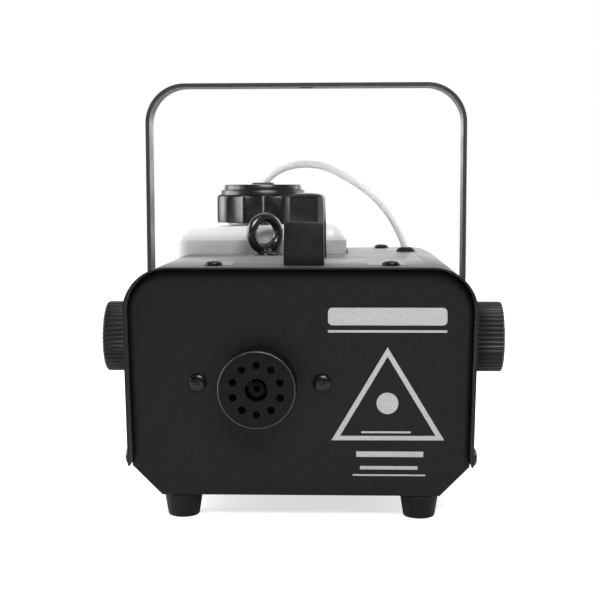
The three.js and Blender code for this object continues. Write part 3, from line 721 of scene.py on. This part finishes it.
def make_tank(mats):
    """A blow-moulded tank: walls lofted through levels, sloping shoulders, a neck and a hollow inside."""
    low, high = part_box("fluid_tank")
    cap = box_middle("tank_cap")
    neck_at = (cap.x, cap.y)
    top, seam = TANK_TOP, TANK_SEAM
    # Each level's height and how far the wall is drawn in there, in mm.
    levels = [
        (low.z, 4.0), (low.z + 1 * MM, 2.0), (low.z + 3 * MM, 0.6), (low.z + 6 * MM, 0.0),
        (seam - 0.9 * MM, 0.0), (seam - 0.5 * MM, -0.2), (seam, -0.2), (seam + 0.5 * MM, 0.4),
        (top - 6.5 * MM, 1.8), (top - 3.6 * MM, 3.0), (top - 1.7 * MM, 4.4), (top - 0.5 * MM, 6.4),
        (top, 9.0),
    ]
    rings = []
    for z, drawn_in in levels:
        inset = drawn_in * MM + TANK_CLEARANCE
        corner = TANK_CORNER - min(drawn_in * MM, 4 * MM)
        outline = rounded(low.x + inset, low.y + inset, high.x - inset, high.y - inset, corner, 10)
        rings.append([Vector((x, y, z)) for x, y in outline])
    tank = loft("tank", rings)
    shoulders = prism("shoulders", "y", [
        (low.x - 1 * MM, low.z - 1 * MM), (high.x + 1 * MM, low.z - 1 * MM), (high.x + 1 * MM, top - 11 * MM),
        (high.x - 1.2 * MM, top - 8.6 * MM), (high.x - 7.6 * MM, top - 1 * MM), (high.x - 9 * MM, top),
        (-8 * MM, top), (-60 * MM, top - 2 * MM), (low.x + 12 * MM, top - 3.2 * MM),
        (low.x + 2.4 * MM, top - 5.4 * MM), (low.x - 1 * MM, top - 8.4 * MM),
    ], low.y - 5 * MM, high.y + 5 * MM)
    combined(tank, [shoulders], "INTERSECT")
    neck = rod("neck", "z", neck_at, NECK_RADIUS, top - 1 * MM, NECK_TOP, 64)
    bore = rod("bore", "z", neck_at, NECK_BORE, top - 11 * MM, NECK_TOP + 1 * MM, 64)
    wall = TANK_WALL
    room = rounded(low.x + wall, low.y + wall, high.x - wall, high.y - wall, 8 * MM)
    inside = prism("inside", "z", room, low.z + 3 * MM, top - 10 * MM)
    joined(tank, neck)
    cut(tank, inside)
    cut(tank, bore)
    placed(smoothed(tank, 50), "tank", mats["milky"], "milky_plastic", "fluid_tank")


CAP_RIBS = 14
RIB_RADIUS = 36.7 * MM
RIB_ROOT = 33.5 * MM  # nearer the middle than this, the cap is plain round
RIB_DEPTH = 3.7 * MM
RIB_TURN = math.radians(5)  # from the front to the middle rib
CAP_BORE = 4.2 * MM


def cap_radius(radius, along, angle):
    """A scalloped skirt: sharp ribs with hollows between them."""
    if radius < RIB_ROOT:
        return radius
    turn = (angle + math.pi / 2 - RIB_TURN) * CAP_RIBS / (2 * math.pi)
    hollow = math.sin(math.pi * (turn % 1.0)) ** 0.4
    return radius - RIB_DEPTH * hollow


def make_cap(mats):
    low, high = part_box("tank_cap")
    middle = (low + high) / 2
    # Radius and height above the skirt's lower edge, in mm: out over the ribs, up to the boss, down the bore.
    rib, bore = RIB_RADIUS / MM, CAP_BORE / MM
    profile = [(r * MM, low.z + up * MM) for r, up in (
        (28, 0), (35.6, 0), (rib - 0.15, 0.5), (rib, 1.2), (rib, 10), (rib - 0.1, 19), (rib - 0.5, 20.2),
        (rib - 1.6, 21.0), (32.6, 21.1), (32.5, 21.7), (32.4, 24.0), (31.9, 24.7), (30.6, 24.9),
        (29.8, 25.1), (29.8, 28.2), (29.4, 28.7), (28.4, 28.8), (27.2, 28.0), (20, 28.1),
        (10, 28.8), (9, 29.1), (8.4, 30.0), (7.6, 30.3), (5.6, 30.3), (5.2, 29.8), (5.1, 28.4),
        (bore, 28.3), (bore, 20), (28, 19.4),
    )]
    cap = turned("cap", "z", (middle.x, middle.y), profile, CAP_RIBS * 16, closed=True, radius_at=cap_radius)
    placed(smoothed(cap, 40), "cap", mats["gloss"], "gloss_plastic", "tank_cap")


def make_grommet(mats):
    low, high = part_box("hose_grommet")
    middle = (low + high) / 2
    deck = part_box("top_cover")[1].z
    r = (high.x - low.x) / 2
    profile = [
        (3.4 * MM, low.z), (4.4 * MM, low.z), (4.4 * MM, deck + 0.1 * MM), (r - 0.2 * MM, deck + 0.1 * MM),
        (r, deck + 0.5 * MM), (r - 0.3 * MM, deck + 1.2 * MM), (r - 1.3 * MM, deck + 2.2 * MM),
        (r - 2.8 * MM, deck + 3.0 * MM), (3.9 * MM, deck + 3.3 * MM), (3.3 * MM, deck + 3.0 * MM),
    ]
    grommet = turned("grommet", "z", (middle.x, middle.y), profile, 48, closed=True)
    placed(smoothed(grommet, 60), "housing", mats["rubber"], "rubber", "hose_grommet")


# ---- Carry handle and eyebolt ----

HANDLE_LEDGE = 25 * MM  # height of the step where the grip rises from its feet
HANDLE_FOOT = 18 * MM  # length of each foot, front to back
GRIP_UNDERSIDE = 187 * MM
GRIP_CORNER = 11 * MM  # of the opening for the fingers
POCKET_DEPTHS = (3.4 * MM, 1.3 * MM)  # of the end's recess, at its lower and upper edge


def make_handle(mats):
    low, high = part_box("carry_handle")
    middle = (low + high) / 2
    half = (high.x - low.x) / 2
    ledge = low.z + HANDLE_LEDGE
    front, top = low.y, high.z
    foot = front + HANDLE_FOOT

    lip = Vector((front + 2.4 * MM, ledge + 1.2 * MM))
    crown = Vector((front + 5.6 * MM, top - 2.6 * MM))
    outer = [(front, low.z), (front + 0.9 * MM, ledge), tuple(lip)]
    outer += arc(front + 9.6 * MM, top - 4.6 * MM, 4.6 * MM, 156, 94, 7)
    inner = [(foot, low.z)]
    inner += arc(foot + GRIP_CORNER, GRIP_UNDERSIDE - GRIP_CORNER, GRIP_CORNER, 180, 90, 10)

    def back(points):
        return [(2 * middle.y - y, z) for y, z in points]

    outline = outer + back(outer)[::-1] + back(inner) + inner[::-1]
    handle = prism("handle", "x", outline, low.x, high.x)
    right = [(half, low.z - 5 * MM), (half - 0.25 * MM, ledge), (half - 0.8 * MM, top - 3.2 * MM)]
    right += arc(half - 2.9 * MM, top - 3.3 * MM, 2.1 * MM, 5, 68, 4)
    right += [(half * t, top - 1.35 * MM * t * t) for t in (0.75, 0.6, 0.45, 0.3, 0.15)]
    section = [(middle.x + u, v) for u, v in right + mirrored(right)]
    keep = prism("keep", "y", section, low.y - 5 * MM, high.y + 5 * MM)
    combined(handle, [keep], "INTERSECT")

    slope = (crown - lip).normalized()
    outward = Vector((-slope.y, slope.x))
    bottom = lip - POCKET_DEPTHS[0] * outward + 1.2 * MM * slope
    upper = crown - POCKET_DEPTHS[1] * outward + 0.4 * MM * slope
    pocket = [tuple(p) for p in (bottom, upper, upper + 7 * MM * outward, bottom + 7 * MM * outward)]
    for shape in (pocket, back(pocket)):
        cut(handle, prism("pocket", "x", shape, middle.x - half * 0.69, middle.x + half * 0.67))
    softened(handle, 0.75 * MM, 3, 28)
    placed(smoothed(handle, 45), "housing", mats["moulded"], "black_plastic", "carry_handle")
    # The grip's rounded upright edges above the ledge get the paler plastic: a painted highlight.
    painted_highlight(handle, mats, lambda centre, normal: (
        centre.z > ledge and 0.4 < abs(normal.x) < 0.93 and abs(normal.y) > 0.3
    ))


EYE_TURN = 37  # degrees, the ring's plane about the vertical
EYE_RADIUS = 11.5 * MM
EYE_WIRE = 3.7 * MM


def make_eyebolt(mats):
    low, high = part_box("eyebolt")
    middle = (low + high) / 2
    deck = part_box("top_cover")[1].z
    ring, wire = EYE_RADIUS, EYE_WIRE
    centre = Vector((middle.x, middle.y, high.z - ring - wire))
    across = Vector((math.cos(math.radians(EYE_TURN)), math.sin(math.radians(EYE_TURN)), 0))
    normal = across.cross(Vector((0, 0, 1)))
    rings = []
    for i in range(72):
        angle = 2 * math.pi * i / 72
        out = math.cos(angle) * across + math.sin(angle) * Vector((0, 0, 1))
        fatter = 1 + 0.07 * max(0.0, -math.sin(angle)) ** 3
        rings.append([
            centre + ring * out + wire * fatter * (math.cos(a) * out + math.sin(a) * normal)
            for a in (2 * math.pi * k / 28 for k in range(28))
        ])
    eye = loft("eyebolt_ring", rings, closed=True)
    profile = [
        (8.1 * MM, deck + 0.1 * MM), (8.35 * MM, deck + 0.4 * MM), (8.3 * MM, deck + 1.2 * MM),
        (7.4 * MM, deck + 1.9 * MM), (5.9 * MM, deck + 2.6 * MM), (4.9 * MM, deck + 3.6 * MM),
        (4.5 * MM, deck + 4.6 * MM), (3.6 * MM, deck + 5.2 * MM), (0.4 * MM, deck + 5.3 * MM),
    ]
    shank = [(3 * MM, low.z), (3 * MM, deck + 0.1 * MM)]
    stem = turned("stem", "z", (centre.x, centre.y), shank + profile, 48)
    joined(eye, stem)
    placed(smoothed(eye, 60), "housing", mats["cast"], "black_screw", "eyebolt")


# ---- Hanging bracket and knobs ----

STRAP = 2.7 * MM  # thickness
STUD_HOLE = 4.6 * MM
HOOK_HOLE = 5.5 * MM


def make_bracket(mats):
    low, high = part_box("hanging_bracket")
    pivot = TILT_PIVOT
    half = (high.y - low.y) / 2

    def line(inset):
        return [(high.x - inset, pivot.z)] + arc(high.x - BEND, high.z - BEND, BEND - inset, 0, 90, 24)

    outer, inner = line(0), line(STRAP)
    outline = outer + mirrored(outer) + mirrored(inner)[::-1] + inner[::-1]
    strap = prism("bracket", "y", outline, low.y, high.y)
    ends = [rod("end", "x", (pivot.y, pivot.z), half, x0, x1, 64)
            for x0, x1 in ((-high.x, -high.x + STRAP), (high.x - STRAP, high.x))]
    joined(strap, *ends)
    cut(strap, rod("stud_hole", "x", (pivot.y, pivot.z), STUD_HOLE, -0.13, 0.13),
        rod("hook_hole", "z", (0, pivot.y), HOOK_HOLE, high.z - 0.01, high.z + 0.01, 48))
    softened(strap, 0.45 * MM, 2, 40)
    placed(smoothed(strap, 30), "bracket", mats["bracket"], "powder_coat", "hanging_bracket")


KNOB_RIDGES = 44
RIDGE_DEPTH = 0.9 * MM
KNOB_CORNER = 1.9 * MM


def make_knob(mats, side, sign):
    low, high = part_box(side + "_knob")
    pivot = TILT_PIVOT
    start = low.x if sign > 0 else -high.x
    end = high.x if sign > 0 else -low.x
    radius = (high.z - low.z) / 2

    def ridged(r, along, angle):
        """Ridges on the rim that run out on the faces."""
        depth = RIDGE_DEPTH * max(0.0, min(1.0, (r - (radius - 5.5 * MM)) / (2.6 * MM)))
        wave = 1 - abs(math.sin(KNOB_RIDGES * angle / 2))
        return r - depth * wave

    profile = [(STUD_HOLE, start), (radius - 2.2 * MM, start), (radius - 1.4 * MM, start + 0.3 * MM),
               (radius, start + 1.6 * MM)]
    profile += arc(radius - KNOB_CORNER, end - KNOB_CORNER - 0.3 * MM, KNOB_CORNER, 0, 90, 6)
    profile += [(radius - 7 * MM, end - 0.1 * MM), (radius - 12 * MM, end), (2 * MM, end)]
    profile = [(r, sign * x) for r, x in profile]
    knob = turned(side + "_knob_grip", "x", (pivot.y, pivot.z), profile, KNOB_RIDGES * 10, radius_at=ridged)
    placed(smoothed(knob, 50), side + "_clamp", mats["moulded"], "black_plastic", side + "_knob")
    # The knob's rounded outer rim gets the paler plastic: a painted highlight.
    painted_highlight(knob, mats, lambda centre, normal: 0.25 < sign * normal.x < 0.9 and (
        math.hypot(centre.y - pivot.y, centre.z - pivot.z) > radius - HIGHLIGHT_BAND_WIDTH))


# ---- Prints: plain shapes in place of the marks ----

FRONT_PRINT = 0.06 * MM  # thickness
DECK_PRINT = 0.05 * MM


def printed(name, axis, outline, face, lift, ink, hole=None):
    """A thin raised shape on the plane at face."""
    shape = prism(name, axis, outline, face, face + lift)
    if hole:
        cut(shape, prism("hole", axis, hole, face - 1 * MM, face + 1 * MM))
    placed(shape, "housing", ink, "milky_plastic")


def make_prints(mats):
    """A band, a triangle with a spot, and bars on the front, and faint patches on the deck. In metres."""
    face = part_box("front_panel")[0].y
    for name, shape in (
        ("band", rounded(0.0175, 0.1235, 0.0915, 0.1345, 0.0028)),
        ("band_line", rectangle(0.0175, 0.1190, 0.0915, 0.1205)),
        ("triangle", [(0.0196, 0.0510), (0.0901, 0.0512), (0.0546, 0.1098)]),
        ("spot", circle(0.0546, 0.0745, 0.0068, 40)),
        ("base_bar", rectangle(0.0383, 0.0556, 0.0692, 0.0568)),
        ("line_0", rectangle(0.0352, 0.0405, 0.0771, 0.0440)),
        ("line_1", rectangle(0.0376, 0.0325, 0.0736, 0.0347)),
        ("line_2", rectangle(0.0330, 0.0284, 0.0784, 0.0294)),
    ):
        hollow = [(0.0250, 0.0538), (0.0847, 0.0540), (0.0546, 0.1040)] if name == "triangle" else None
        printed(name, "y", shape, face, -FRONT_PRINT, mats["ink"], hollow)
    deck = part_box("top_cover")[1].z
    for i, shape in enumerate((
        [(-0.0578, -0.0300), (-0.0541, -0.0980), (-0.0436, -0.0980), (-0.0473, -0.0300)],
        rectangle(-0.0440, -0.0420, -0.0275, -0.0400),
        rounded(0.0423, -0.0965, 0.0665, -0.0280, 0.0015), rectangle(0.0307, -0.0620, 0.0423, -0.0600),
        rectangle(0.0405, 0.0600, 0.0417, 0.1060), rounded(0.0470, 0.0800, 0.0580, 0.0960, 0.0010),
    )):
        printed(f"deck_print_{i}", "z", shape, deck, DECK_PRINT, mats["faint_ink"])


# ---- CAD nodes that stay ----

KEPT = {
    "powder": ("base_pan", "rear_panel", "tank_tray"),
    "steel": ("heater_guard", "heater_stand_front", "heater_stand_rear", "pump_bracket"),
    # The outlet pipe is near black: painted shade inside the outlet.
    "painted_shade": ("outlet_pipe",),
    "zinc": ("thermostat", "pump_body", "handle_screw_front", "handle_screw_rear", "eyebolt_nut",
             "left_knob_stud", "right_knob_stud", "left_washer", "right_washer", "left_weld_nut",
             "right_weld_nut", "foot_screw_front_left", "foot_screw_front_right", "foot_screw_rear_left",
             "foot_screw_rear_right"),
    "aluminium": ("heater_block",),
    "copper": ("heater_feed_pipe",),
    "board": ("control_board",),
    "hose": ("pump_feed_hose", "pickup_tube"),
    "moulded": ("mains_inlet", "fuse_holder", "fuse_cap", "switch_frame", "remote_socket"),
    "gloss": ("switch_rocker",),
}
# How wide the bevel on a kept node's edges is, in mm.
SOFT_EDGES = {"base_pan": 0.35, "rear_panel": 0.3, "mains_inlet": 0.4, "fuse_cap": 0.4,
              "switch_frame": 0.4, "switch_rocker": 0.5, "remote_socket": 0.3, "fuse_holder": 0.3}


def finish_kept(mats):
    for key, nodes in KEPT.items():
        for node in nodes:
            piece = NODES[node]
            piece.data.materials.clear()
            piece.data.materials.append(mats[key])
    for node, width in SOFT_EDGES.items():
        bevel = NODES[node].modifiers.new("edges", "BEVEL")
        bevel.width = width * MM
        bevel.segments = 2
        bevel.limit_method = "ANGLE"
        bevel.angle_limit = math.radians(35)


# ---- Floor, light and background ----

def area_light(name, at, towards, size, power):
    data = bpy.data.lights.new(name, "AREA")
    data.shape = "RECTANGLE"
    data.size, data.size_y = size
    data.energy = power
    light = bpy.data.objects.new(name, data)
    light.location = at
    light.rotation_euler = (Vector(towards) - Vector(at)).to_track_quat("-Z", "Y").to_euler()
    bpy.context.scene.collection.objects.link(light)


FLOOR_GLOW = 0.65


def make_floor():
    """A pale floor, bright enough to be white in the picture and less so as a light."""
    floor = add_mesh("floor", [(-15, -15, 0), (15, -15, 0), (15, 15, 0), (-15, 15, 0)], [(0, 1, 2, 3)])
    pale = material("floor", (0.9, 0.9, 0.9), 0.8, Specular_IOR_Level=0.1)
    tinted(pale, noise(pale, 3, 2), (0.89, 0.89, 0.89), (0.91, 0.91, 0.91))
    tree = pale.node_tree
    shader = tree.nodes["Principled BSDF"]
    shader.inputs["Emission Color"].default_value = (1, 1, 1, 1)
    seen = tree.nodes.new("ShaderNodeLightPath")
    tree.links.new(ranged(pale, seen.outputs["Is Camera Ray"], 0.0, FLOOR_GLOW, 0, 1),
                   shader.inputs["Emission Strength"])
    floor.data.materials.append(pale)


def make_background():
    """White all round for the camera. As light it is brighter behind and above the object than in front."""
    world = bpy.data.worlds.new("studio")
    bpy.context.scene.world = world
    world.use_nodes = True
    tree = world.node_tree
    shine = tree.nodes["Background"]
    shine.inputs["Color"].default_value = (1, 1, 1, 1)
    where = tree.nodes.new("ShaderNodeTexCoord")
    split = tree.nodes.new("ShaderNodeSeparateXYZ")
    ramp = tree.nodes.new("ShaderNodeMapRange")
    ramp.inputs["From Min"].default_value = -0.4
    ramp.inputs["From Max"].default_value = 0.9
    ramp.inputs["To Min"].default_value = 0.05
    ramp.inputs["To Max"].default_value = 1.0
    seen = tree.nodes.new("ShaderNodeLightPath")
    choose = tree.nodes.new("ShaderNodeMix")
    choose.inputs["B"].default_value = 1.0
    tree.links.new(where.outputs["Generated"], split.inputs["Vector"])
    tree.links.new(split.outputs["Y"], ramp.inputs["Value"])
    tree.links.new(ramp.outputs["Result"], choose.inputs["A"])
    tree.links.new(seen.outputs["Is Camera Ray"], choose.inputs["Factor"])
    tree.links.new(choose.outputs["Result"], shine.inputs["Strength"])


def make_lights():
    area_light("top", (0.1, 0.5, 1.6), (0, 0.05, 0.1), (1.6, 1.0), 4)
    area_light("key", (0.3, -1.25, 1.2), (0, -0.05, 0.12), (0.9, 0.5), 24)
    area_light("back", (0.15, 1.9, 0.55), (0, 0, 0.15), (2.4, 0.7), 9)
    area_light("left", (-1.25, 0.15, 0.4), (0, 0, 0.17), (1.2, 0.8), 20)
    area_light("right", (1.25, 0.7, 0.45), (0, 0, 0.13), (0.5, 0.9), 8)


# ---- Assembly ----

make_camera()
MATERIALS = make_materials()
make_hose(MATERIALS)
make_cover(MATERIALS)
make_front_panel(MATERIALS)
make_screws(MATERIALS)
make_nozzle(MATERIALS)
make_feet(MATERIALS)
make_tank(MATERIALS)
make_cap(MATERIALS)
make_grommet(MATERIALS)
make_handle(MATERIALS)
make_eyebolt(MATERIALS)
make_bracket(MATERIALS)
make_knob(MATERIALS, "left", -1)
make_knob(MATERIALS, "right", 1)
make_prints(MATERIALS)
finish_kept(MATERIALS)
make_floor()
make_background()
make_lights()
bpy.context.scene.view_settings.view_transform = "Standard"
